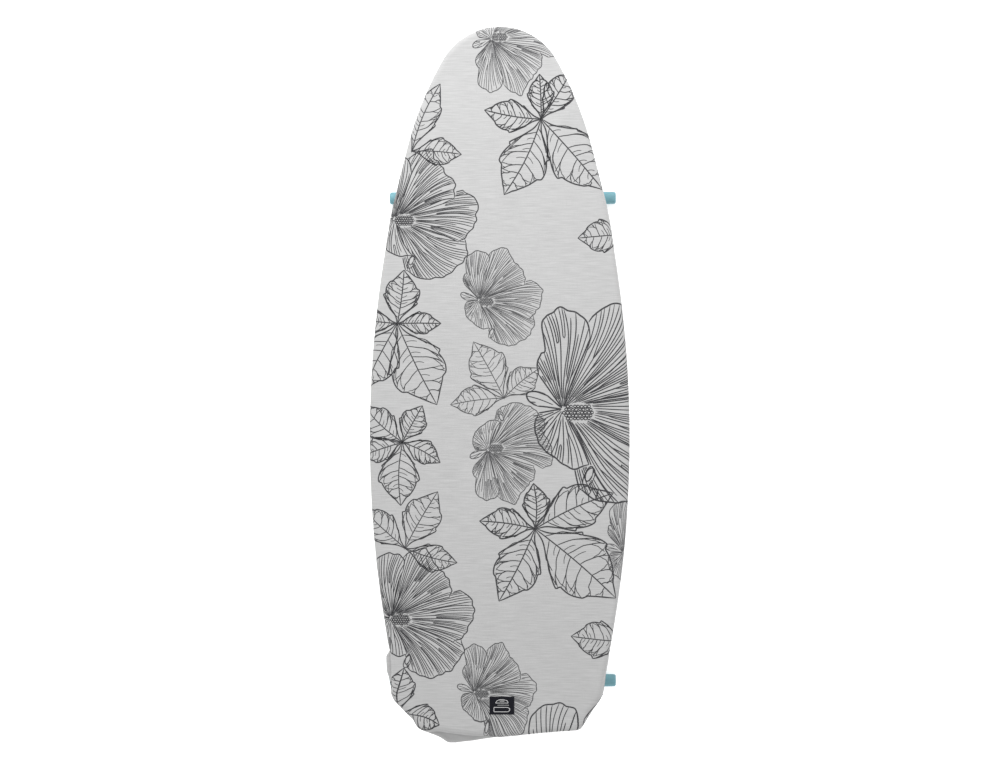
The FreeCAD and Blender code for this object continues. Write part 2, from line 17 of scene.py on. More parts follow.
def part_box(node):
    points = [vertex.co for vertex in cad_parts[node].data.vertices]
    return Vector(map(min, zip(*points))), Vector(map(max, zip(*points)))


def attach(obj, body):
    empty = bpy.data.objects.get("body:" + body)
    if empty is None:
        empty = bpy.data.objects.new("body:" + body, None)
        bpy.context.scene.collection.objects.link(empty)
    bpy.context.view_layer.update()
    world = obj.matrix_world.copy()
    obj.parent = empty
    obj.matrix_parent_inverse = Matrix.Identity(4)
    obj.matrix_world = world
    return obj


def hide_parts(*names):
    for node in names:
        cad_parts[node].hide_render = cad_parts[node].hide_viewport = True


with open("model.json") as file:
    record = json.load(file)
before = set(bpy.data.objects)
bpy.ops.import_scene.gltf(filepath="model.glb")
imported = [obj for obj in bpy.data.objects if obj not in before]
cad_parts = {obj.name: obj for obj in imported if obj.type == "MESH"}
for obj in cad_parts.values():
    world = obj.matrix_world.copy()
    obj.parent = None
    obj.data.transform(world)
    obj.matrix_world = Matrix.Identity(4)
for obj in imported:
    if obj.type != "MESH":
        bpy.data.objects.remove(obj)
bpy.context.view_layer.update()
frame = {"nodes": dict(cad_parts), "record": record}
scene = bpy.context.scene
MM = 0.001
TURN = 2 * math.pi


def box_mm(node):
    """A CAD node's lowest and highest corners, in mm."""
    return [np.array(corner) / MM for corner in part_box(node)]


# --- plan of the board, with the same sizes as the CAD's sheet ---
low, high = box_mm("cotton_cover")
HALF_WIDTH, TIP, SURFACE = high
SKIRT_BOTTOM = low[2]
SIDE_RADIUS, SHOULDER_RADIUS = 1340.0, 420.0
SIDE_MIDDLE = np.array([HALF_WIDTH - SIDE_RADIUS, -71.0])
SHOULDER_Y = 275.0
TAIL_HALF, TAIL_DEPTH, CORNER = 90.0, 38.0, 20.0
AROUND = 412  # samples along each half of the outline


def unit(angle):
    return np.array([math.cos(angle), math.sin(angle)])


def quarter(count):
    """Cosines and sines of a quarter turn."""
    return [unit(angle) for angle in np.linspace(0, math.pi / 2, count)]


def plan_runs():
    """The right half of the plan, nose to tail: arcs (centre, radius, from, to) and straight runs."""
    start = math.asin((SHOULDER_Y - SIDE_MIDDLE[1]) / SIDE_RADIUS)
    shoulder = SIDE_MIDDLE + unit(start) * (SIDE_RADIUS - SHOULDER_RADIUS)
    rise = TIP - shoulder[1]
    nose = (SHOULDER_RADIUS**2 - shoulder[0] ** 2 - rise**2) / (2 * (SHOULDER_RADIUS - rise))
    touch = math.atan2(rise - nose, -shoulder[0])
    corner_y = TAIL_DEPTH - TIP
    corner_x = SIDE_MIDDLE[0] + math.sqrt(SIDE_RADIUS**2 - (corner_y - SIDE_MIDDLE[1]) ** 2)
    along = np.array([TAIL_HALF - corner_x, -TAIL_DEPTH])
    along /= np.linalg.norm(along)
    normal = np.array([-along[1], along[0]])
    lean = math.atan2(normal[1], normal[0])
    inner = np.array([corner_x, corner_y]) - CORNER * normal
    to = inner - SIDE_MIDDLE
    half, rest = to @ along, to @ to - (SIDE_RADIUS - CORNER) ** 2
    first = inner + along * (-half - math.sqrt(half**2 - rest))
    second = inner + along * ((CORNER - TIP - inner[1]) / along[1])
    side_end = math.atan2(*(first - SIDE_MIDDLE)[::-1])
    return [
        (np.array([0, TIP - nose]), nose, math.pi / 2, touch),
        (shoulder, SHOULDER_RADIUS, touch, start),
        (SIDE_MIDDLE, SIDE_RADIUS, start, side_end),
        (first, CORNER, side_end, lean),
        (first + CORNER * normal, second + CORNER * normal, normal),
        (second, CORNER, lean, -math.pi / 2),
        (np.array([second[0], -TIP]), np.array([0, -TIP]), np.array([0, -1])),
    ]


def arc_lengths(line):
    """The way along a polyline to each of its points."""
    return np.concatenate([[0], np.cumsum(np.linalg.norm(np.diff(line, axis=0), axis=1))])


def points_at(line, way, marks):
    """A polyline's points at marks along its way."""
    return np.column_stack([np.interp(marks, way, column) for column in line.T])


def outline():
    """Evenly spaced points, outward normals and length of half the plan, clockwise from the nose."""
    line = []
    for run in plan_runs():
        if len(run) == 4:
            centre, radius, begin, end = run
            for angle in np.linspace(begin, end, max(8, int(abs(end - begin) * radius / 0.3))):
                line.append((*(centre + radius * unit(angle)), *unit(angle)))
        else:
            a, b, normal = run
            line += [(*(a + (b - a) * t), *normal) for t in np.linspace(0, 1, 200)]
    line = np.array(line)
    way = arc_lengths(line[:, :2])
    right = points_at(line, way, np.linspace(0, way[-1], AROUND + 1))
    whole = np.concatenate([right, (right * (-1, 1, -1, 1))[-2:0:-1]])
    facing = whole[:, 2:] / np.linalg.norm(whole[:, 2:], axis=1)[:, None]
    return whole[:, :2], facing, way[-1]


EDGE, OUTWARD, HALF_WAY = outline()
COUNT = len(EDGE)
STEP = HALF_WAY / AROUND
WAY = np.arange(COUNT) * STEP  # arc length, clockwise from the nose
LOOP = 2 * HALF_WAY


def inset(distance):
    """The outline moved inwards, by one distance or by one for each sample."""
    return EDGE - OUTWARD * np.reshape(distance, (-1, 1))


def waves(counts, seed):
    """A smooth irregular ripple of about unit size that closes round the outline."""
    rng = np.random.default_rng(seed)
    total = np.zeros(COUNT)
    for count in counts:
        total += rng.uniform(0.5, 1) * np.sin(TURN * count * WAY / LOOP + rng.uniform(0, 6.28))
    return total / math.sqrt(len(counts))


def smooth(low, high, value):
    t = np.clip((value - low) / (high - low), 0, 1)
    return t * t * (3 - 2 * t)


# --- meshes ---


def at_height(flat, z=0.0):
    """Flat points with one height, or one for each."""
    return np.column_stack([flat, np.broadcast_to(z, len(flat))])


def add_object(name, data):
    made = bpy.data.objects.new(name, data)
    scene.collection.objects.link(made)
    return made


def make_mesh(name, verts, faces, cloth=None, shade=True):
    """A mesh object from millimetres, with flat cloth coordinates if given."""
    mesh = bpy.data.meshes.new(name)
    mesh.from_pydata((np.asarray(verts, float) * MM).tolist(), [], faces)
    if cloth is not None:
        layer = mesh.attributes.new("cloth", "FLOAT_VECTOR", "POINT")
        layer.data.foreach_set("vector", (at_height(cloth) * MM).ravel())
    mesh.update()
    if shade:
        mesh.polygons.foreach_set("use_smooth", [True] * len(mesh.polygons))
    return add_object(name, mesh)


def weld(piece, distance=1e-6):
    work = bmesh.new()
    work.from_mesh(piece.data)
    bmesh.ops.remove_doubles(work, verts=work.verts, dist=distance)
    bmesh.ops.dissolve_degenerate(work, edges=work.edges, dist=distance)
    work.to_mesh(piece.data)
    work.free()
    return piece


def thicken(piece, thickness, offset=-1.0):
    """Give a sheet its thickness, as part of its mesh."""
    skin = piece.modifiers.new("thickness", "SOLIDIFY")
    skin.thickness = thickness * MM
    skin.offset = offset
    graph = bpy.context.evaluated_depsgraph_get()
    mesh = bpy.data.meshes.new_from_object(piece.evaluated_get(graph))
    piece.modifiers.clear()
    old, piece.data = piece.data, mesh
    bpy.data.meshes.remove(old)
    return piece


def ring_faces(rings, count, closed=False):
    """Quads between consecutive rings of the same number of points."""
    faces = []
    for ring in range(rings if closed else rings - 1):
        here, there = ring * count, (ring + 1) % rings * count
        for k in range(count):
            after = (k + 1) % count
            faces.append((here + k, here + after, there + after, there + k))
    return faces


# --- cotton cover ---

CLOTH_THICK = 0.8
TOP_BEND, FOLD_BEND = 6.5, 4.5
SKIRT_LEAN = 1.2
FLANGE = 17.0
FLAT_FROM = 20.0  # rings follow the outline this far in, and run to the middle from there
SPINE = 0.72  # the middle line's length as a part of the board's
GATHER_SIZE, PUCKER_SIZE, SWELL_SIZE = 0.9, 0.55, 0.12


def profile_line():
    """Flat distance, inset and height along the cover's outer face, from the top to the hem."""
    top = [(TOP_BEND * (1 - s), SURFACE - TOP_BEND * (1 - c)) for c, s in quarter(24)]
    fold = [(SKIRT_LEAN + FOLD_BEND * (1 - c), SKIRT_BOTTOM + FOLD_BEND * (1 - s)) for c, s in quarter(16)]
    line = np.array([*top, *fold, (FLANGE, SKIRT_BOTTOM + 0.2)])
    return TOP_BEND - arc_lengths(line), line[:, 0], line[:, 1]


FLAT, ACROSS, HEIGHT = (column[::-1] for column in profile_line())
CLOTH_EDGE = FLAT[0]

# slack cloth round the tail: way from the tail's middle to the left, how far the edge stands out,
# and how far the skirt below it does
SLACK = (
    (-770, 0, 0), (-735, 0.4, 1.6), (-705, 0.6, 2.3), (-670, 0.3, 1.3), (-630, 0, 0), (-196, 0, 0),
    (-182, 0.3, 1.5), (-165, 0.3, 1.9), (-142, 1.5, 3.6), (-128, 2.4, 3.6), (-116, 2.6, 3.9),
    (-104, 3.4, 4.7), (-97, 4.2, 5.7), (-92, 5.2, 6.8), (-84, 2.8, 4.2), (-72, 3.2, 4.2), (-64, 4.0, 4.9),
    (-50, 5.1, 5.6), (-36, 6.6, 7.0), (-20, 8.4, 9.2), (0, 10.2, 11.2), (17, 9.2, 13.6), (30, 8.9, 15.9),
    (42, 8.0, 17.3), (52, 6.6, 18.6), (61, 5.6, 18.4), (70, 4.0, 12.6), (76, 4.0, 10.0), (84, 4.4, 6.6),
    (92, 5.4, 6.6), (104, 3.4, 4.6), (112, 5.2, 6.6), (124, 6.6, 8.0), (132, 8.0, 9.6), (140, 8.2, 9.8),
    (147, 6.6, 8.6), (160, 4.4, 8.6), (166, 3.2, 9.6), (172, 2.0, 8.6), (184, 0.4, 6.6), (190, 0, 0.6),
    (202, 0.3, 0.9), (214, 0, 0), (630, 0, 0), (670, 0.2, 1.0), (705, 0.5, 2.0), (735, 0.3, 1.4), (770, 0, 0),
)


def slack(flat):
    """How far the loose cloth stands out at each sample, at a flat distance inside the edge."""
    marks, edge_out, skirt_out = np.array(SLACK, float).T
    from_tail = WAY - HALF_WAY
    at_edge, at_skirt = (np.interp(from_tail, marks, out, left=0, right=0) for out in (edge_out, skirt_out))
    skirt = smooth(-6.0, -9.0, flat) * smooth(-34, -17, flat)
    loose = np.clip((at_skirt - at_edge - 2) / 4, 0, 1)
    tuck = np.exp(-(((flat + 5.6) / 1.9) ** 2)) * loose * np.minimum(4.5, at_edge + 1.5)
    return smooth(15, 0, flat) * at_edge * smooth(-36, -12, flat) + skirt * (at_skirt - at_edge) - tuck


GATHER = GATHER_SIZE * waves((83, 96, 113, 131, 149, 163), 11)
PUCKER = PUCKER_SIZE * waves((41, 57, 68, 83), 12)
SWELL = SWELL_SIZE * waves((9, 14, 23, 31), 13)


def top_height(flat):
    """The faint unevenness of the stretched top."""
    x, y = flat.T
    return (
        0.14 * np.sin(x / 31 + 0.7) * np.sin(y / 47 + 1.1)
        + 0.10 * np.sin(x / 17 - y / 29)
        + 0.08 * np.sin(x / 43 + y / 21 + 2.0)
        - 0.16
    )


def cover_ring(flat):
    """One ring of the cover at a flat distance inside the edge."""
    across = flat if flat > TOP_BEND else np.interp(flat, FLAT, ACROSS)
    hem = smooth(-19, CLOTH_EDGE, flat)
    low_skirt = smooth(-4, -20, flat)
    place = inset(across - slack(flat) - low_skirt * PUCKER * (1 - hem))
    ripple = hem * GATHER * (smooth(CLOTH_EDGE, -26, flat) * 0.75 + 0.25)
    z = np.interp(flat, FLAT, HEIGHT) + ripple + SWELL * (1 - low_skirt)
    return at_height(place, z + top_height(place) * smooth(0, 16, flat))


RING_FLATS = np.concatenate([
    np.linspace(CLOTH_EDGE, -24, 8), np.linspace(-22.5, -10, 9), np.linspace(-9, -3.5, 12),
    np.linspace(-3, TOP_BEND, 11), [8, 10, 13, 16.5, FLAT_FROM],
])
RINGS = np.array([cover_ring(flat) for flat in RING_FLATS])


def inner_ring(part):
    """A flat ring on the way from the outer rings to the middle line."""
    start = inset(FLAT_FROM)
    spine = np.column_stack([np.zeros(COUNT), start[:, 1] * SPINE])
    return start + (spine - start) * part


def cotton_cover():
    rings, cloth = list(RINGS), [inset(flat) for flat in RING_FLATS]
    for part in (0.06, 0.13, 0.21, 0.3, 0.4, 0.5, 0.61, 0.72, 0.82, 0.91, 1.0):
        flat = inner_ring(part)
        rings.append(at_height(flat, SURFACE + top_height(flat)))
        cloth.append(flat)
    # rings run clockwise seen from above and inwards, so this order faces outwards
    faces = [face[::-1] for face in ring_faces(len(rings), COUNT)]
    return weld(make_mesh("cover", np.concatenate(rings), faces, np.concatenate(cloth)))


cover = cotton_cover()
COVER_TREE = BVHTree.FromPolygons(
    [v.co.copy() for v in cover.data.vertices], [tuple(p.vertices) for p in cover.data.polygons]
)
thicken(cover, CLOTH_THICK)
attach(cover, "board")
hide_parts("cotton_cover")

# --- printed flowers and leaves ---

PRINT_END = -25.0  # the print is followed this far down the skirt and under the fold
INK_LIFT = 0.09
BENDING = np.linalg.norm(np.roll(OUTWARD, -1, axis=0) - np.roll(OUTWARD, 1, axis=0), axis=1) / (2 * STEP)
TANGENT = np.column_stack([OUTWARD[:, 1], -OUTWARD[:, 0]])


def nearest_edge(points, batch=20000):
    """The nearest outline sample and the signed distance inside the outline, for flat points."""
    index = np.empty(len(points), int)
    for begin in range(0, len(points), batch):
        part = points[begin : begin + batch]
        gap = (part[:, None, 0] - EDGE[:, 0]) ** 2 + (part[:, None, 1] - EDGE[:, 1]) ** 2
        index[begin : begin + batch] = np.argmin(gap, axis=1)
    return index, np.einsum("ij,ij->i", EDGE[index] - points, OUTWARD[index])


def on_cover(points):
    """Flat cloth points laid on the cover's outer face, in mm."""
    index, depth = nearest_edge(points)
    along = np.einsum("ij,ij->i", points - EDGE[index], TANGENT[index])
    along /= 1 + BENDING[index] * np.maximum(-depth, 0)
    place = index + along / STEP
    before, share = np.floor(place).astype(int) % COUNT, (place - np.floor(place))[:, None]
    after = (before + 1) % COUNT
    ring = np.interp(depth, RING_FLATS, np.arange(len(RING_FLATS)))
    below = np.minimum(ring.astype(int), len(RING_FLATS) - 2)
    low_left, low_right = RINGS[below, before], RINGS[below, after]
    high_left, high_right = RINGS[below + 1, before], RINGS[below + 1, after]
    low, high = low_left + (low_right - low_left) * share, high_left + (high_right - high_left) * share
    facing = np.cross(high - low, low_right - low_left + high_right - high_left)
    facing /= np.linalg.norm(facing, axis=1)[:, None]
    result = low + (high - low) * (ring - below)[:, None] + facing * INK_LIFT
    for k in np.flatnonzero(depth > FLAT_FROM):
        x, y = points[k]
        spot, normal, _, _ = COVER_TREE.find_nearest(Vector((x * MM, y * MM, SURFACE * MM)))
        result[k] = (spot + normal * (INK_LIFT * MM)) / MM
    return result


def inside_polygon(points, polygon):
    """Which points lie inside a closed polygon."""
    x, y = points.T[..., None]
    ax, ay = polygon.T
    bx, by = np.roll(ax, -1), np.roll(ay, -1)
    crosses = (ay > y) != (by > y)
    rise = np.where(by == ay, 1e-9, by - ay)
    return (crosses & (x < (bx - ax) * (y - ay) / rise + ax)).sum(axis=1) % 2 == 1


def stretches(shown):
    """The (begin, end) runs of at least three shown points."""
    marks = np.flatnonzero(np.diff(np.concatenate([[0], shown.astype(int), [0]])))
    return [(a, b) for a, b in zip(marks[::2], marks[1::2]) if b - a >= 3]


def resample(line, step):
    """A polyline with evenly spaced points."""
    line = np.asarray(line, float)
    way = arc_lengths(line)
    return points_at(line, way, np.linspace(0, way[-1], max(8, int(way[-1] / step) + 1)))


def oval(centre, half_x, half_y, count=24, begin=0.0, end=TURN):
    """Points of an ellipse or of an arc of one."""
    angles = np.linspace(begin, end, count)
    return np.array(centre) + np.column_stack([half_x * np.cos(angles), half_y * np.sin(angles)])


def through(values, at):
    """A smooth curve through evenly spaced values, for 0..1."""
    values = np.array(values, float)
    padded = np.concatenate([[2 * values[0] - values[1]], values, [2 * values[-1] - values[-2]]])
    place = np.clip(at, 0, 1) * (len(values) - 1)
    k = np.minimum(np.asarray(place, int), len(values) - 2)
    t = place - k
    a, b, c, d = (padded[k + n] for n in range(4))
    return b + 0.5 * t * (c - a + t * (2 * a - 5 * b + 4 * c - d + t * (3 * (b - c) + d - a)))


# petals, front to back: first and last angle in degrees, how narrow the neck is, and the petal's
# length at evenly spaced places across it, in parts of the flower's radius
PETALS = (
    (182, 294, 0.94, (0.25, 0.31, 0.36, 0.42, 0.46, 0.52, 0.60, 0.62)),
    (143, 178, 0.90, (0.22, 0.38, 0.37, 0.26)),
    (71, 132, 0.86, (0.75, 0.91, 0.97, 1.00, 1.01, 0.98, 0.95, 0.88, 0.61, 0.60, 0.56, 0.52, 0.42)),
    (16, 78, 0.92, (0.98, 1.02, 1.05, 1.09, 1.07, 1.06, 1.08, 1.11, 1.14, 1.21, 1.14, 1.04, 0.90)),
    (-24, 20, 0.96, (1.05, 1.19, 1.26, 1.31, 1.16)),
    (-75, -14, 0.96, (0.82, 1.01, 1.14, 1.21, 1.25, 1.24, 1.10)),
)
VEIN_GAP = 0.040  # between the veins at a petal's edge
STAMEN = np.array([0.150, -0.035])
BEAD_ACROSS, BEAD_UP = 0.0355, 0.0305
BUD, BUD_SHADE = (0.262, -0.655), (0.258, -0.690)


def flower(seed):
    """(line, weight) strokes of an open flower seen a little from the side."""
    rng = np.random.default_rng(seed)
    c, s = unit(math.radians(-20))
    bud = oval((0, 0), 0.034, 0.080) @ np.array([[c, s], [-s, c]])
    covered = [oval(STAMEN, 0.160, 0.095), bud + BUD]
    strokes = [(bud + BUD, 0.9), (bud * (1.5, 1.25) + BUD_SHADE, 0.7)]

    def add(line, weight):
        """Keep the stretches that no nearer petal hides."""
        shown = np.ones(len(line), bool)
        for polygon in covered:
            shown &= ~inside_polygon(line, polygon)
        strokes.extend((line[a:b], weight) for a, b in stretches(shown))

    for begin, end, neck, lengths in PETALS:
        phases = rng.uniform(0, 6.28, 3)
        middle = (begin + end) / 2
        longest = max(lengths)
        lean = rng.uniform(2.5, 5.0) * rng.choice([-1, 1])
        size = math.radians(end - begin) * longest

        def edge_at(across):
            one, two, three = (np.sin(n * size * across + phase) for n, phase in zip((17, 35, 24), phases))
            return through(lengths, across) * (1 + 0.011 * one + 0.008 * (two + abs(three)))

        def fan(radius, degrees, sway=0.0):
            """Points at radii on a petal's rays, drawn together at the neck and bowed."""
            share = np.clip(radius / longest, 0, 1)
            spread = neck + (1 - neck) * share**1.5
            bow = lean * np.sin(math.pi * share) + 0.9 * np.sin(5.2 * share + phases[1]) * share
            angle = np.radians(middle + (degrees - middle) * spread + bow + sway * np.sin(7 * share))
            return np.column_stack([radius * np.cos(angle), radius * np.sin(angle)])

        def ray(degrees, start, stop, sway=0.0, lead=None):
            """A vein from the throat; with lead it starts on another vein and leaves it."""
            t = np.linspace(start, stop, 30)
            if lead is not None:
                leave = np.clip((t - start) / 0.22, 0, 1)
                degrees = lead + (degrees - lead) * leave * (2 - leave)
            return fan(t, degrees, sway)

        across = np.linspace(0, 1, 110)
        radius = edge_at(across)
        edge = fan(radius, middle + (end - begin) * (across - 0.5))
        sides = [ray(begin, 0.02, radius[0]), ray(end, 0.02, radius[-1])]
        add(edge, 1.0)
        for side in sides:
            add(side, 0.95)
        count = max(4, int(math.radians(end - begin) * np.mean(lengths) / VEIN_GAP))
        width = (end - begin) / count
        for number in range(1, count):
            here = (number + rng.uniform(-0.15, 0.15)) / count
            degrees = begin + (end - begin) * here
            reach = edge_at(here) * 0.992
            sway = rng.uniform(-0.9, 0.9)
            weight = rng.uniform(0.58, 0.74)
            if number % 4 == 0:
                add(ray(degrees, 0.03, reach, sway), weight + 0.06)
                continue
            if number % 4 == 2:
                add(ray(degrees, rng.uniform(0.09, 0.17), reach, sway), weight)
                continue
            kind = rng.uniform()
            if kind < 0.55:
                lead = degrees + rng.choice([-1.0, 1.0]) * width
                add(ray(degrees, reach * rng.uniform(0.30, 0.62), reach, sway, lead), weight)
            elif kind < 0.75:
                # two veins that join in a rounded end towards the throat
                inner = reach * rng.uniform(0.50, 0.72)
                one, two = (ray(degrees + way * width, inner + 0.02, reach, sway) for way in (-0.30, 0.30))
                add(np.concatenate([one[::-1], ray(degrees, inner, inner + 0.001)[:1], two]), weight)
            else:
                add(ray(degrees, rng.uniform(0.20, 0.36), reach * rng.uniform(0.8, 1.0), sway), weight)
        covered.append(np.concatenate([sides[0], edge, sides[1][::-1]]))
    for row in range(-3, 4):
        for column in range(-5, 6):
            x = BEAD_ACROSS * (column + 0.5 * (row % 2)) + rng.uniform(-0.003, 0.003)
            y = BEAD_UP * row + rng.uniform(-0.002, 0.002)
            if (x / 0.155) ** 2 + (y / 0.092) ** 2 < 1:
                bead = rng.uniform(0.0140, 0.0165)
                strokes.append((oval(STAMEN + (x, y), bead, bead, 10), 0.72))
    return strokes


Q = np.linspace(0, 1, 24)[:, None]  # along a vein


def arc(start, knee, end):
    """A quadratic curve at the parameters Q."""
    return (1 - Q) ** 2 * start + 2 * Q * (1 - Q) * knee + Q**2 * end


def leaf(base, tip, width, seed, scallops=4, ribs=6):
    """(line, weight) strokes of a toothed leaf with a midrib and forked side veins."""
    rng = np.random.default_rng(seed)
    strokes = []
    base, tip = np.array(base, float), np.array(tip, float)
    length = np.linalg.norm(tip - base)
    ahead = (tip - base) / length
    aside = np.array([-ahead[1], ahead[0]])
    bow = rng.uniform(-0.05, 0.05)

    def stroke(points, weight, way=1):
        """Add a line of points given along the leaf and aside, in parts of its length."""
        t, y = np.asarray(points * np.array([1, way]), float).T
        y = y + bow * np.sin(math.pi * t)
        strokes.append((base + length * (t[:, None] * ahead + y[:, None] * aside), weight))

    phases = rng.uniform(0, 1, 2)

    def half_width(t, side):
        t = np.clip(t, 0, 1)
        body = np.maximum(through((0.02, 0.17, 0.50, 0.83, 1.0, 0.97, 0.72, 0.34, 0.0), t), 0)
        tooth = (t * scallops + phases[side]) % 1.0
        step = 0.17 * tooth**1.2 * (1 - smooth(0.88, 1.0, tooth)) - 0.05
        return width * body * (1 + step * smooth(0.15, 0.40, t))

    t = np.linspace(0, 1, 120)
    for side, way in ((0, 1), (1, -1)):
        stroke(np.column_stack([t, half_width(t, side)]), 1.0, way)
    stroke(np.column_stack([np.linspace(-0.02, 0.985, 40), np.zeros(40)]), 0.85)
    gap = 0.70 / (ribs - 1)
    for side, way in ((0, 1), (1, -1)):

        def edge_point(t, share=0.97):
            return np.array([t, half_width(t, side) * share])

        starts = np.linspace(0.12, 0.82, ribs) + rng.uniform(-0.02, 0.02, ribs) + 0.03 * side
        for number, start in enumerate(starts):
            goal = edge_point(min(0.97, start + (1 - start) * rng.uniform(0.30, 0.38)))
            vein = arc((start, 0), (start + 0.40 * (goal[0] - start), goal[1] * 0.78), goal)
            vein += 0.006 * np.sin(np.array([9, 13]) * Q + rng.uniform(0, 6, 2)) * np.sin(math.pi * Q)
            stroke(vein, 0.66, way)
            for mark, shift in ((8, -0.52), (13, 0.40), (17, -0.24)):
                if rng.uniform() < 0.15:
                    continue
                end_t = np.clip(goal[0] + gap * shift * rng.uniform(0.85, 1.1), 0.06, 0.975)
                end = edge_point(end_t, rng.uniform(0.86, 0.97))
                if end[1] < vein[mark, 1] * 1.05:
                    continue
                along = vein[mark + 1] - vein[mark - 1]
                along /= np.linalg.norm(along)
                bend = vein[mark] + along * 0.5 * np.linalg.norm(end - vein[mark])
                fork = arc(vein[mark], 0.6 * bend + 0.4 * (vein[mark] + end) / 2, end)
                fork += 0.004 * np.sin(14 * Q + rng.uniform(0, 6)) * np.sin(math.pi * Q)
                stroke(fork, 0.54, way)
            if number + 1 < ribs and rng.uniform() < 0.6:
                # a short vein off the midrib between two ribs
                from_t = start + gap * rng.uniform(0.45, 0.6)
                rise = goal[1] * rng.uniform(0.30, 0.45)
                short = arc((from_t, 0), (from_t + 0.05 * gap, rise * 0.6), (from_t + 0.35 * gap, rise))
                stroke(short, 0.46, way)
    return strokes


# leaves: line width in mm, base, then (tip, half width as a part of the length) for each leaflet
LEAVES = (
    (1.35, (-103, 266), (((-69.5, 345), 0.20), ((-44.5, 262), 0.26))),
    (1.30, (-111, -200.5), (((-72.5, -134), 0.28), ((-49.5, -217.5), 0.24), ((-163, -153.5), 0.25))),
    (1.35, (-113, -392), (((-112, -341), 0.29),)),
    (1.30, (-112, -390), (((-70.5, -406), 0.30),)),
    (1.65, (49, 303), (((47, 356), 0.27), ((85, 360), 0.25), ((-17.5, 314), 0.26),
                       ((5.5, 214.5), 0.27), ((121, 220.5), 0.27))),
    (1.65, (42, -177.5), (((40, -124), 0.28), ((-23.5, -168.5), 0.26), ((133.5, -135.5), 0.25),
                          ((-0.5, -262.5), 0.27), ((136.5, -258.5), 0.29))),
    (1.50, (-120, 63.5), (((-112, 126.5), 0.31), ((-68.5, 63.5), 0.24), ((-73.5, -32), 0.30),
                          ((-160, -13), 0.28), ((-172, 69.5), 0.24))),
    (1.40, (-114, -76), (((-90.5, -33), 0.31), ((-69.5, -100), 0.26), ((-116, -150.5), 0.30),
                         ((-160, -33), 0.28), ((-165, -93), 0.26))),
    (1.35, (151.5, 168.5), (((92, 163.5), 0.30),)),
    (1.35, (151.5, -310.5), (((84, -303.5), 0.30),)),
    (1.10, (5.5, -24), (((-30.5, 42), 0.29), ((-57.5, -32), 0.26), ((47, 11), 0.29))),
)
# flowers: line width in mm, throat, radius, and -1 for one upside down
FLOWERS = (
    (1.85, (75, -37), 116, 1),
    (1.35, (-123, 187), 75, 1),
    (1.35, (-127.5, -282), 75, 1),
    (1.02, (-29, -369.5), 55, 1),
    (1.02, (-24, 91), 57, 1),
    (1.02, (-13, -85), 58, -1),
    (1.02, (-9, 397.5), 61, -1),
    (1.60, (69, -500), 117, 1),
    (1.02, (146, -205), 59, 1),
)
FIRST_SEED = 41


def draw_print():
    """Every motif's lines near the cloth; where two motifs meet, the lines of both show."""
    seed = FIRST_SEED
    lines = []
    for pen, base, leaflets in LEAVES:
        for tip, width in leaflets:
            lines += [(line, pen * weight, pen) for line, weight in leaf(base, tip, width, seed)]
            seed += 1
    for pen, throat, radius, up in FLOWERS:
        size = (radius, up * radius)
        lines += [(line * size + throat, pen * weight, pen) for line, weight in flower(seed)]
        seed += 1
    middles = np.array([line[len(line) // 2] for line, _, _ in lines])
    reach = [np.linalg.norm(line - middle, axis=1).max() for (line, _, _), middle in zip(lines, middles)]
    return [
        (resample(line, 0.8 if depth - around < 12 else 2.0), width, pen)
        for (line, width, pen), depth, around in zip(lines, nearest_edge(middles)[1], reach)
        if depth + around > PRINT_END
    ]


def clip_to_cloth(lines):
    """Keep the stretches that lie on the cover's outer face."""
    _, depth = nearest_edge(np.concatenate([line for line, _, _ in lines]))
    kept, begin = [], 0
    for line, width, pen in lines:
        good = depth[begin : begin + len(line)] > PRINT_END
        begin += len(line)
        kept += [(line[a:b], width, pen) for a, b in stretches(good)]
    return kept


def ribbons(lines):
    """Flat points and faces of ribbons, from (line, half width) pairs."""
    flat, faces, count = [], [], 0
    for line, half in lines:
        ahead = np.gradient(line, axis=0)
        ahead /= np.maximum(np.linalg.norm(ahead, axis=1), 1e-9)[:, None]
        aside = np.column_stack([-ahead[:, 1], ahead[:, 0]]) * np.reshape(half, (-1, 1))
        flat.append(np.stack([line + aside, line - aside], axis=1).reshape(-1, 2))
        faces += [(a, a + 1, a + 3, a + 2) for a in range(count, count + 2 * len(line) - 2, 2)]
        count += 2 * len(line)
    return np.concatenate(flat), faces


def print_mesh():
    """The ink as thin ribbons that lie on the cloth and thin out at their ends."""
    lines, tone = [], []
    for line, width, pen in clip_to_cloth(draw_print()):
        t = np.linspace(0, 1, len(line))
        taper = 0.5 + 0.5 * np.clip(np.minimum(t, 1 - t) * 12, 0, 1)
        lines.append((line, 0.5 * width * taper))
        tone.append(np.full(2 * len(line), min(1.0, 0.62 + 0.3 * pen)))
    flat, faces = ribbons(lines)
    piece = make_mesh("cover_print", on_cover(flat), faces, flat)
    layer = piece.data.attributes.new("ink", "FLOAT", "POINT")
    layer.data.foreach_set("value", np.concatenate(tone))
    return piece


ink = print_mesh()
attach(ink, "board")

# --- felt pad ---


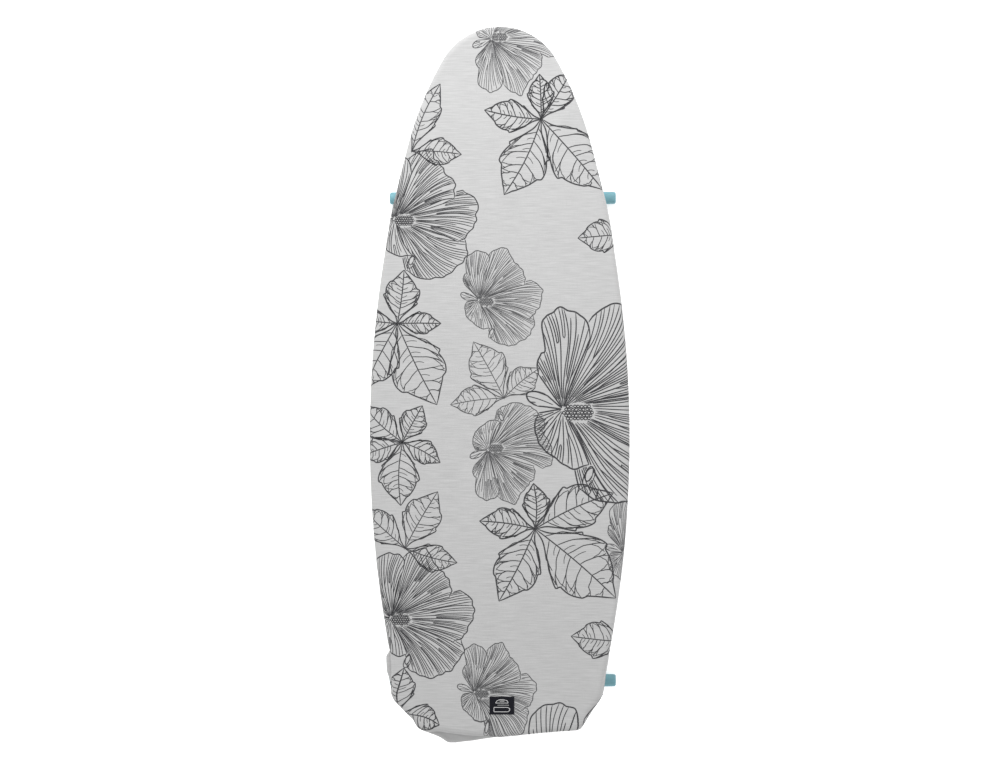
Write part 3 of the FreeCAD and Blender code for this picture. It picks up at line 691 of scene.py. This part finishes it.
def felt_pad():
    """A closed pad of rings that run from the top's middle to the bottom's, with a napped face."""
    low, high = box_mm("felt_pad")
    bottom, top = low[2] + 0.05, high[2] - 0.45
    middle, half = (top + bottom) / 2, (top - bottom) / 2
    edge = [(FLAT_FROM, top), (14, top), (10, top)]
    for angle in np.linspace(math.pi / 2, -math.pi / 2, 13):
        reach = 3.2 + 4.4 * (1 - math.cos(angle)) * (1 if angle > 0 else 0.4)
        edge.append((reach, middle + half * math.sin(angle)))
    edge += [(8, bottom), (12, bottom), (FLAT_FROM, bottom)]
    parts = (1.0, 0.85, 0.68, 0.5, 0.34, 0.2, 0.09)
    rings = [at_height(inner_ring(part), top) for part in parts]
    rings += [at_height(inset(across), z) for across, z in edge]
    rings += [at_height(inner_ring(part), bottom) for part in parts[::-1]]
    piece = weld(make_mesh("felt", np.concatenate(rings), ring_faces(len(rings), COUNT)))
    rng = np.random.default_rng(5)
    points = np.array([v.co for v in piece.data.vertices])
    wobble = np.abs(rng.normal(0, 0.05 * MM, len(points)))
    points[:, 2] += np.where(points[:, 2] < (bottom + 0.3) * MM, wobble, -wobble)
    piece.data.vertices.foreach_set("co", points.ravel())
    piece.data.update()
    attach(piece, "board")
    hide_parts("felt_pad")
    return piece


felt = felt_pad()

# --- expanded-steel panel ---

CELL_LONG, CELL_SHORT = 25.0, 11.5
STRAND, STRAND_THICK, STRAND_SLOPE = 2.1, 0.42, 0.24
PANEL_EDGE, PANEL_BORDER, BORDER_HALF = 6.0, 17.0, 0.45


def expanded_panel():
    """Staggered diamond cells with sloping strands inside a flat border."""
    low, high = box_mm("mesh_panel")
    middle = (low[2] + high[2]) / 2
    a, b = CELL_LONG / 2, CELL_SHORT / 2
    corners = np.array([(2, 0), (1, 1), (0, 2), (-1, 1), (-2, 0), (-1, -1), (0, -2), (1, -1)]) * (a, b) / 2
    hole = corners * (1 - STRAND / 2 / (a * b / math.hypot(a, b)))
    hole[0::4] *= 0.96
    hole[2::4] *= 0.9
    columns, rows = int(HALF_WIDTH / CELL_LONG) + 1, int(TIP / b) + 1
    cells = np.array([((column + 0.5 * (row % 2)) * CELL_LONG, row * b)
                      for row in range(-rows, rows + 1) for column in range(-columns, columns + 1)])
    cells = cells[nearest_edge(cells)[1] > PANEL_BORDER - 5]
    # each cell has eight points on the middle lines of its strands, then eight round its hole
    flat = (cells[:, None] + np.concatenate([corners, hole])).reshape(-1, 2)
    z = middle - np.tile(np.concatenate([np.zeros(8), STRAND_SLOPE * hole[:, 1] / b]), len(cells))
    faces = [(first + k, first + (k + 1) % 8, first + 8 + (k + 1) % 8, first + 8 + k)
             for first in range(0, len(flat), 16) for k in range(8)]
    # strands that reach past the border's edge end on it
    index, depth = nearest_edge(flat)
    flat -= OUTWARD[index] * np.maximum(PANEL_EDGE + 1 - depth, 0)[:, None]
    piece = weld(make_mesh("mesh_sheet", at_height(flat, z), faces, shade=False), 2e-5)
    thicken(piece, STRAND_THICK, 0.0)
    outer, inner, half = PANEL_EDGE, PANEL_BORDER - 1.5, BORDER_HALF
    rings = [at_height(inset(across), middle + z)
             for across, z in ((outer, -half), (inner, -half), (inner, half), (outer, half))]
    band = make_mesh("mesh_border", np.concatenate(rings), ring_faces(4, COUNT, closed=True), shade=False)
    for part in (piece, band):
        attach(part, "board")
        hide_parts("mesh_panel")
    return piece, band


panel, panel_border = expanded_panel()

# --- hem casing and its stitches ---

HEM_SIDES = 16
HEM_CLOTH = 30.0  # the hem's flat coordinates start this far outside the plan


def hem_casing():
    """The gathered tube of cloth at the cover's edge, with the elastic inside."""
    low, high = box_mm("hem_casing")
    middle, half_z = (low[2] + high[2]) / 2, (high[2] - low[2]) / 2
    across = HALF_WIDTH - high[0] + 3.5
    crease = waves((126, 147, 171, 196), 31)
    twist = waves((60, 77, 91), 32)
    rings, cloth = [], []
    for k in range(HEM_SIDES):
        c, s = unit(TURN * k / HEM_SIDES)
        wide = 3.55 * np.sign(c) * abs(c) ** 0.7 + 0.25 * twist
        tall = (half_z + 0.05) * np.sign(s) * abs(s) ** 0.7 + 0.34 * crease * (0.6 if s > 0 else 1.0)
        rings.append(at_height(inset(across - wide), middle + tall))
        cloth.append(inset(-HEM_CLOTH - k))
    faces = [face[::-1] for face in ring_faces(HEM_SIDES, COUNT, closed=True)]
    piece = make_mesh("hem", np.concatenate(rings), faces, np.concatenate(cloth))
    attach(piece, "board")
    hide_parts("hem_casing")
    return piece


hem = hem_casing()


def stitch_row(name, path, up, pitch, length, radius, sides=6):
    """Short raised threads along a path of points, in mm."""
    path = np.asarray(path, float)
    up = np.array([0, 0, up])
    way = arc_lengths(path)
    shape = [*ring_faces(5, sides), tuple(range(sides))[::-1], tuple(range(4 * sides, 5 * sides))]
    verts, faces = [], []
    for number in range(int(way[-1] / pitch)):
        middle = (number + 0.5) * pitch
        centre, before = points_at(path, way, [middle, middle - 0.4])
        along = centre - before
        along /= np.linalg.norm(along)
        side = np.cross(up, along)
        side /= np.linalg.norm(side)
        faces += [tuple(len(verts) + k for k in face) for face in shape]
        for t, scale, rise in ((-0.5, 0.25, -0.6), (-0.3, 0.9, 0.0), (0, 1.0, 0.25), (0.3, 0.9, 0.0),
                               (0.5, 0.25, -0.6)):
            for k in range(sides):
                c, s = unit(TURN * k / sides)
                verts.append(centre + along * t * length + radius * ((side * c + up * s) * scale + up * rise))
    return make_mesh(name, verts, faces)


low, _ = box_mm("hem_casing")
path = at_height(inset(FLANGE + 0.4), low[2] + 0.15)
stitches = stitch_row("hem_stitches", np.vstack([path, path[:1]]), -1.0, 3.4, 2.5, 0.3)
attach(stitches, "board")

# --- woven label ---

LABEL_COLUMNS, LABEL_ROWS = 58, 42
SEAM_IN = np.array([0.9, 0.8])  # from the label's edge to its stitches


def label():
    """A folded woven patch with a pictogram of an iron over a board, sewn on near the tail."""
    low, high = box_mm("cover_label")
    top = high[2] + 0.42
    low, high = low[:2], high[:2]

    def puffed(flat):
        """The face's height, highest in the middle."""
        u, v = ((flat - low) / (high - low)).T
        return top + 0.12 * np.sin(math.pi * u) * np.sin(math.pi * v)

    steps = (LABEL_COLUMNS, LABEL_ROWS)
    grid = np.meshgrid(*(np.linspace(a, b, count + 1) for a, b, count in zip(low, high, steps)))
    flat = np.column_stack([axis.ravel() for axis in grid])
    margin = np.minimum(flat - low, high - flat)
    drop = 0.28 * np.maximum(0, 1 - margin.min(axis=1) / 0.7) ** 2
    folded = np.where(margin[:, 0] < 3.2, 0.10, 0.0)
    step = LABEL_COLUMNS + 1
    rib = np.repeat([-0.02 * (1 - row % 2) for row in range(LABEL_ROWS + 1)], step)
    faces = [(a, a + 1, a + step + 1, a + step)
             for row in range(LABEL_ROWS) for a in range(row * step, row * step + LABEL_COLUMNS)]
    patch = make_mesh("label", at_height(flat, puffed(flat) - drop + folded + rib), faces, flat)
    thicken(patch, 0.5)
    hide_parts("cover_label")

    nose = oval((5.6, -4.6), 3.6, 2.6, 20, -math.pi / 2, math.pi / 2)
    board = [(-9.4, -7.2), *nose, (-9.4, -2.0), (-9.4, -7.2)]
    iron = [(-7.6, 3.1), (7.2, 3.1), (6.4, 5.6), (2.2, 7.0), (-2.0, 7.2), (-5.8, 5.8), (-7.6, 3.1)]
    rule, handle = [(-5.2, 0.6), (8.2, 0.6)], [(-2.6, 5.4), (2.8, 5.4)]
    picture = ((board, 0.55), (rule, 0.32), (iron, 0.5), (handle, 0.6))
    flat, faces = ribbons([(resample(line, 0.5) + (low + high) / 2, width / 2) for line, width in picture])
    mark = make_mesh("label_mark", at_height(flat, puffed(flat) + 0.06), faces, flat)

    (x0, y0), (x1, y1) = low + SEAM_IN, high - SEAM_IN
    seam = [(x0, y0), (x1, y0), (x1, y1), (x0, y1), (x0, y0)]
    threads = stitch_row("label_stitches", at_height(seam, top + 0.10), 1.0, 2.1, 1.6, 0.16)
    for part in (patch, mark, threads):
        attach(part, "board")
    return patch, mark, threads


label_patch, label_mark, label_threads = label()

# --- rubber caps ---

CAP_RADIUS, CAP_BORE, CAP_HEIGHT, CAP_RIM, CAP_AROUND = 8.0, 6.6, 7.7, 2.2, 48


def foot_cap(node):
    """A moulded cap: rolled mouth, slightly tapered wall, rounded end and flat sole."""
    low, high = box_mm(node)
    side = 1 if high[0] > 0 else -1
    y, length = (low[1] + high[1]) / 2, high[0] - low[0]
    mouth = low[0] if side > 0 else high[0]
    radius, tail = CAP_RADIUS, CAP_RADIUS - 0.38
    line = [(2.5, CAP_BORE), (0.35, CAP_BORE), (0.0, CAP_BORE + 0.35), (0.0, radius - 0.7),
            (0.25, radius - 0.25), (0.8, radius), (1.7, radius), (2.2, radius - 0.22),
            (2.9, radius - 0.22), (3.5, radius - 0.05)]
    line += [(length * t, radius - 0.08 - 0.3 * t * t) for t in np.linspace(0.3, 0.84, 6)]
    line += [(length - CAP_RIM * (1 - s), tail - CAP_RIM * (1 - c)) for c, s in quarter(8)]
    line += [(length - 0.05, 3.0), (length, 2.0), (length - 0.25, 1.2), (length - 0.3, 0.0)]
    verts = []
    for along, out in line:
        for k in range(CAP_AROUND):
            c, s = unit(TURN * k / CAP_AROUND)
            verts.append((mouth + side * along, y + out * c, max(CAP_HEIGHT + out * s, 0.02)))
    faces = [face[::side] for face in ring_faces(len(line), CAP_AROUND)]
    piece = weld(make_mesh(node + "_moulded", verts, faces))
    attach(piece, "front_leg" if node.startswith("front") else "rear_leg")
    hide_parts(node)
    return piece


caps = [foot_cap(f"{where}_cap_{side}") for where in ("front", "rear") for side in ("left", "right")]

# --- materials ---


def grey(value):
    return (value,) * 3


def scaled(tone, factor, lift=0.0):
    return tuple(factor * c + lift for c in tone)


class Recipe:
    """A small builder for a material's nodes. Colours are tuples or outputs."""

    def __init__(self, name, roughness, metallic=0.0, specular=0.4):
        self.material = bpy.data.materials.new(name)
        self.material.use_nodes = True
        self.tree = self.material.node_tree
        self.shader = self.tree.nodes["Principled BSDF"]
        self.set(self.shader, {"Roughness": roughness, "Metallic": metallic, "Specular IOR Level": specular})

    def set(self, node, values):
        """Give a node's inputs their numbers, colours or links; None leaves an input as it is."""
        for name, value in values.items():
            if isinstance(value, bpy.types.NodeSocket):
                self.tree.links.new(value, node.inputs[name])
            elif value is not None:
                node.inputs[name].default_value = value

    def node(self, kind, inputs, output, **settings):
        """An output of a new node."""
        node = self.tree.nodes.new(kind)
        for name, value in settings.items():
            setattr(node, name, value)
        self.set(node, inputs)
        return node.outputs[output]

    def place(self, scale=(1, 1, 1), cloth=False):
        """Texture coordinates: the object's in metres, or the cloth's own flat ones."""
        if cloth:
            out = self.node("ShaderNodeAttribute", {}, "Vector", attribute_name="cloth")
        else:
            out = self.node("ShaderNodeTexCoord", {}, "Object")
        return self.node("ShaderNodeMapping", {"Vector": out, "Scale": scale}, "Vector")

    def noise(self, where, scale, detail=3.0, roughness=0.55):
        inputs = {"Vector": where, "Scale": scale, "Detail": detail, "Roughness": roughness}
        return self.node("ShaderNodeTexNoise", inputs, "Fac")

    def wave(self, where, scale, direction, distortion):
        inputs = {"Vector": where, "Scale": scale, "Distortion": distortion, "Detail": 1.0}
        return self.node("ShaderNodeTexWave", inputs, "Fac", wave_type="BANDS", bands_direction=direction)

    def weave(self, where, weft, warp, distortion):
        """Threads both ways, at bands per metre of flat cloth."""
        bands = self.wave(where, weft, "Y", distortion), self.wave(where, warp, "X", distortion)
        return self.math("MAXIMUM", *bands)

    def math(self, operation, a, b):
        return self.node("ShaderNodeMath", {0: a, 1: b}, "Value", operation=operation)

    def ramp(self, value, low, high, to_low=0.0, to_high=1.0):
        inputs = {"Value": value, "From Min": low, "From Max": high, "To Min": to_low, "To Max": to_high}
        return self.node("ShaderNodeMapRange", inputs, "Result")

    def mix(self, factor, a, b):
        a, b = ((*tone, 1) if isinstance(tone, tuple) else tone for tone in (a, b))
        return self.node("ShaderNodeMix", {"Factor": factor, 6: a, 7: b}, 2, data_type="RGBA")

    def layer(self, tone, value, low, high, colour, share=1.0):
        """Mix a colour in, up to its share, where a value rises from low to high."""
        return self.mix(self.ramp(value, low, high, 0, share), tone, colour)

    def bump(self, height, distance, strength=1.0, after=None):
        inputs = {"Height": height, "Distance": distance, "Strength": strength, "Normal": after}
        return self.node("ShaderNodeBump", inputs, "Normal")

    def soft_edge(self, radius):
        """A normal that rounds the light on sharp edges."""
        return self.node("ShaderNodeBevel", {"Radius": radius}, "Normal", samples=4)

    def done(self, colour, normal=None, roughness=None):
        """The finished material."""
        self.set(self.shader, {"Base Color": colour, "Normal": normal, "Roughness": roughness})
        return self.material


def cotton(name, light, dark, print_tone=None):
    """Plain-woven slubbed cotton, or the same cloth with ink on it."""
    recipe = Recipe(name, 0.88, specular=0.18)
    recipe.set(recipe.shader, {"Sheen Weight": 0.18, "Sheen Roughness": 0.5})
    flat = recipe.place(cloth=True)
    slub = recipe.noise(recipe.place((42, 900, 1), cloth=True), 1.0, 3.0, 0.6)
    warp_slub = recipe.noise(recipe.place((1100, 60, 1), cloth=True), 1.0, 2.0, 0.5)
    cloud = recipe.noise(flat, 14.0, 3.0, 0.5)
    tone = recipe.layer(light, slub, 0.36, 0.66, dark)
    tone = recipe.layer(tone, warp_slub, 0.55, 0.75, scaled(dark, 0.97), 0.35)
    tone = recipe.layer(tone, cloud, 0.3, 0.7, dark, 0.22)
    if print_tone is not None:
        ink = recipe.node("ShaderNodeAttribute", {}, "Fac", attribute_name="ink")
        gaps = recipe.ramp(recipe.noise(flat, 900.0, 2.0, 0.6), 0.30, 0.62, 0.84, 1.0)
        tone = recipe.mix(recipe.math("MULTIPLY", ink, gaps), tone, print_tone)
    threads = recipe.bump(recipe.weave(flat, 700, 700, 0.6), 0.00006, 0.6)
    return recipe.done(tone, recipe.bump(slub, 0.00035, 0.35, threads))


def felt_cloth():
    recipe = Recipe("felt_needled", 0.95, specular=0.1)
    where = recipe.place()
    fibres = recipe.noise(where, 900.0, 5.0, 0.75)
    clumps = recipe.noise(where, 120.0, 4.0, 0.6)
    tone = recipe.layer((0.50, 0.48, 0.44), fibres, 0.35, 0.65, (0.66, 0.64, 0.60))
    tone = recipe.layer(tone, clumps, 0.55, 0.75, (0.40, 0.39, 0.37), 0.4)
    return recipe.done(tone, recipe.bump(fibres, 0.0002, 0.7, recipe.bump(clumps, 0.0006, 0.5)))


def powder_coat(name, light, dark, roughness=0.42):
    """Powder coat: orange peel, faint mottling, and rounded light on the edges."""
    recipe = Recipe(name, roughness, specular=0.45)
    where = recipe.place()
    mottle = recipe.noise(where, 60.0, 4.0, 0.6)
    peel = recipe.noise(where, 1500.0, 2.0, 0.5)
    dust = recipe.noise(where, 420.0, 5.0, 0.7)
    tone = recipe.layer(light, mottle, 0.35, 0.65, dark)
    tone = recipe.layer(tone, dust, 0.62, 0.74, scaled(light, 1.35, 0.01), 0.35)
    rough = recipe.ramp(mottle, 0.3, 0.7, roughness - 0.06, roughness + 0.10)
    return recipe.done(tone, recipe.bump(peel, 0.00006, 0.5, recipe.soft_edge(0.0005)), rough)


def zinc(name, tone, roughness, grain):
    """Zinc or plain steel: soft spangle, fine scratches along one way, duller patches."""
    recipe = Recipe(name, roughness, metallic=1.0)
    where = recipe.place()
    spangle = recipe.noise(where, 260.0, 2.0, 0.5)
    scratch = recipe.noise(recipe.place(grain), 1.0, 3.0, 0.6)
    stain = recipe.noise(where, 55.0, 4.0, 0.65)
    colour = recipe.layer(tone, spangle, 0.38, 0.62, scaled(tone, 0.82))
    colour = recipe.layer(colour, stain, 0.55, 0.72, scaled(tone, 0.6), 0.5)
    rough = recipe.ramp(scratch, 0.3, 0.7, roughness - 0.10, roughness + 0.14)
    return recipe.done(colour, recipe.bump(scratch, 0.00005, 0.4, recipe.soft_edge(0.0004)), rough)


def moulded(name, tone, roughness, worn, grain=1400.0, specular=0.4):
    """Moulded plastic or rubber: fine spark grain, faint flow marks and a dusty bloom."""
    recipe = Recipe(name, roughness, specular=specular)
    where = recipe.place()
    fine = recipe.noise(where, grain, 3.0, 0.6)
    flow = recipe.noise(recipe.place((60, 260, 260)), 1.0, 3.0, 0.55)
    bloom = recipe.noise(where, 130.0, 5.0, 0.65)
    colour = recipe.layer(tone, flow, 0.35, 0.65, scaled(tone, 0.86))
    colour = recipe.layer(colour, bloom, 0.55, 0.75, worn, 0.35)
    rough = recipe.ramp(bloom, 0.3, 0.7, roughness - 0.05, roughness + 0.10)
    return recipe.done(colour, recipe.bump(fine, 0.00005, 0.5), rough)


def knitted():
    recipe = Recipe("elastic_knit", 0.85, specular=0.2)
    ribs = recipe.wave(recipe.place(), 320, "Z", 0.3)
    tone = recipe.mix(ribs, (0.60, 0.60, 0.58), (0.78, 0.78, 0.76))
    return recipe.done(tone, recipe.bump(ribs, 0.0002, 0.6))


def woven_label(name, tone, other):
    recipe = Recipe(name, 0.85, specular=0.12)
    flat = recipe.place(cloth=True)
    fuzz = recipe.noise(flat, 2500.0, 3.0, 0.6)
    weave = recipe.weave(flat, 900, 500, 0.4)
    colour = recipe.layer(tone, weave, 0.3, 0.9, other)
    colour = recipe.layer(colour, fuzz, 0.6, 0.75, scaled(other, 1.5, 0.01), 0.35)
    return recipe.done(colour, recipe.bump(weave, 0.0001, 0.7))


def thread(name, tone):
    recipe = Recipe(name, 0.75, specular=0.25)
    strands = recipe.noise(recipe.place(), 2200.0, 3.0, 0.7)
    colour = recipe.layer(tone, strands, 0.35, 0.65, scaled(tone, 0.75))
    return recipe.done(colour, recipe.bump(strands, 0.0001, 0.6))


CLOTH_LIGHT, CLOTH_DARK = grey(0.412), grey(0.344)
cotton_plain = cotton("cotton", CLOTH_LIGHT, CLOTH_DARK)
FINISH = {
    "cover_cotton": cotton_plain,
    "elastic": knitted(),
    "label_cloth": woven_label("label_black", (0.003, 0.003, 0.006), (0.009, 0.009, 0.013)),
    "felt": felt_cloth(),
    "frame_steel": powder_coat("frame_powder", (0.50, 0.51, 0.52), (0.44, 0.45, 0.46)),
    "bracket_steel": zinc("zinc_plate", (0.31, 0.32, 0.33), 0.40, (700, 90, 700)),
    "rivet_steel": zinc("rivet_plain", (0.66, 0.66, 0.65), 0.32, (500, 500, 500)),
    "leg_steel": powder_coat("leg_powder", (0.042, 0.055, 0.062), (0.032, 0.042, 0.048), 0.40),
    "nylon": moulded("nylon_black", (0.022, 0.022, 0.024), 0.55, (0.06, 0.06, 0.06)),
    "cap_rubber": moulded("rubber_teal", (0.150, 0.325, 0.375), 0.62, (0.22, 0.40, 0.44), 1100.0, 0.35),
}


def finish(material, *pieces):
    for piece in pieces:
        piece.data.materials.clear()
        piece.data.materials.append(material)


finish(cotton_plain, cover, hem)
finish(cotton("cotton_ink", CLOTH_LIGHT, CLOTH_DARK, print_tone=(0.020, 0.020, 0.023)), ink)
finish(FINISH["felt"], felt)
finish(FINISH["frame_steel"], panel, panel_border)
finish(thread("hem_thread", (0.62, 0.62, 0.62)), stitches)
finish(FINISH["label_cloth"], label_patch)
finish(woven_label("label_white", (0.50, 0.50, 0.50), (0.66, 0.66, 0.66)), label_mark)
finish(thread("label_thread", (0.020, 0.020, 0.026)), label_threads)
finish(FINISH["cap_rubber"], *caps)
for row in frame["record"]["subparts"]:
    for material_slot in frame["nodes"][row["node"]].material_slots:
        material_slot.material = FINISH[row["material_slot"]]

# --- floor, light and camera ---

FLOOR_HALF = 9000


def floor():
    corners = FLOOR_HALF * np.array([(-1, -1), (1, -1), (1, 1), (-1, 1)])
    piece = make_mesh("floor", at_height(corners), [(0, 1, 2, 3)])
    piece.location.z = -0.0002
    recipe = Recipe("floor_pale", 0.9, specular=0.1)
    recipe.set(recipe.shader, {"Emission Color": (1, 1, 1, 1), "Emission Strength": 0.38})
    finish(recipe.done(recipe.mix(recipe.noise(recipe.place(), 3.0), grey(0.94), grey(0.96))), piece)


floor()
KEY_PLACE, KEY_AIM = Vector((-0.15, 1.15, 1.15)), Vector((0, 0.25, 0.15))
key_data = bpy.data.lights.new("key", "AREA")
key_data.shape = "RECTANGLE"
key_data.size, key_data.size_y = 1.2, 0.6
key_data.energy = 22
key = add_object("key", key_data)
key.location = KEY_PLACE
key.rotation_euler = (KEY_AIM - KEY_PLACE).to_track_quat("-Z", "Y").to_euler()
world = bpy.data.worlds.new("studio")
scene.world = world
world.use_nodes = True
background = world.node_tree.nodes["Background"]
background.inputs["Color"].default_value = (1, 1, 1, 1)
background.inputs["Strength"].default_value = 1.02

LENS, SENSOR = 67.5, 36.0
DISTANCE, ASIDE = 2.2, 0.05  # a little to the right of straight above
AIM = Vector((0.0007, -0.007, SURFACE * MM))
camera_data = bpy.data.cameras.new("camera")
camera_data.lens = LENS
camera_data.sensor_width = SENSOR
camera = add_object("camera", camera_data)
camera.location = AIM + Vector((ASIDE, 0.0, DISTANCE))
camera.rotation_euler = (0, math.atan2(ASIDE, DISTANCE), 0)
bpy.context.scene.camera = camera
scene.view_settings.view_transform = "Standard"
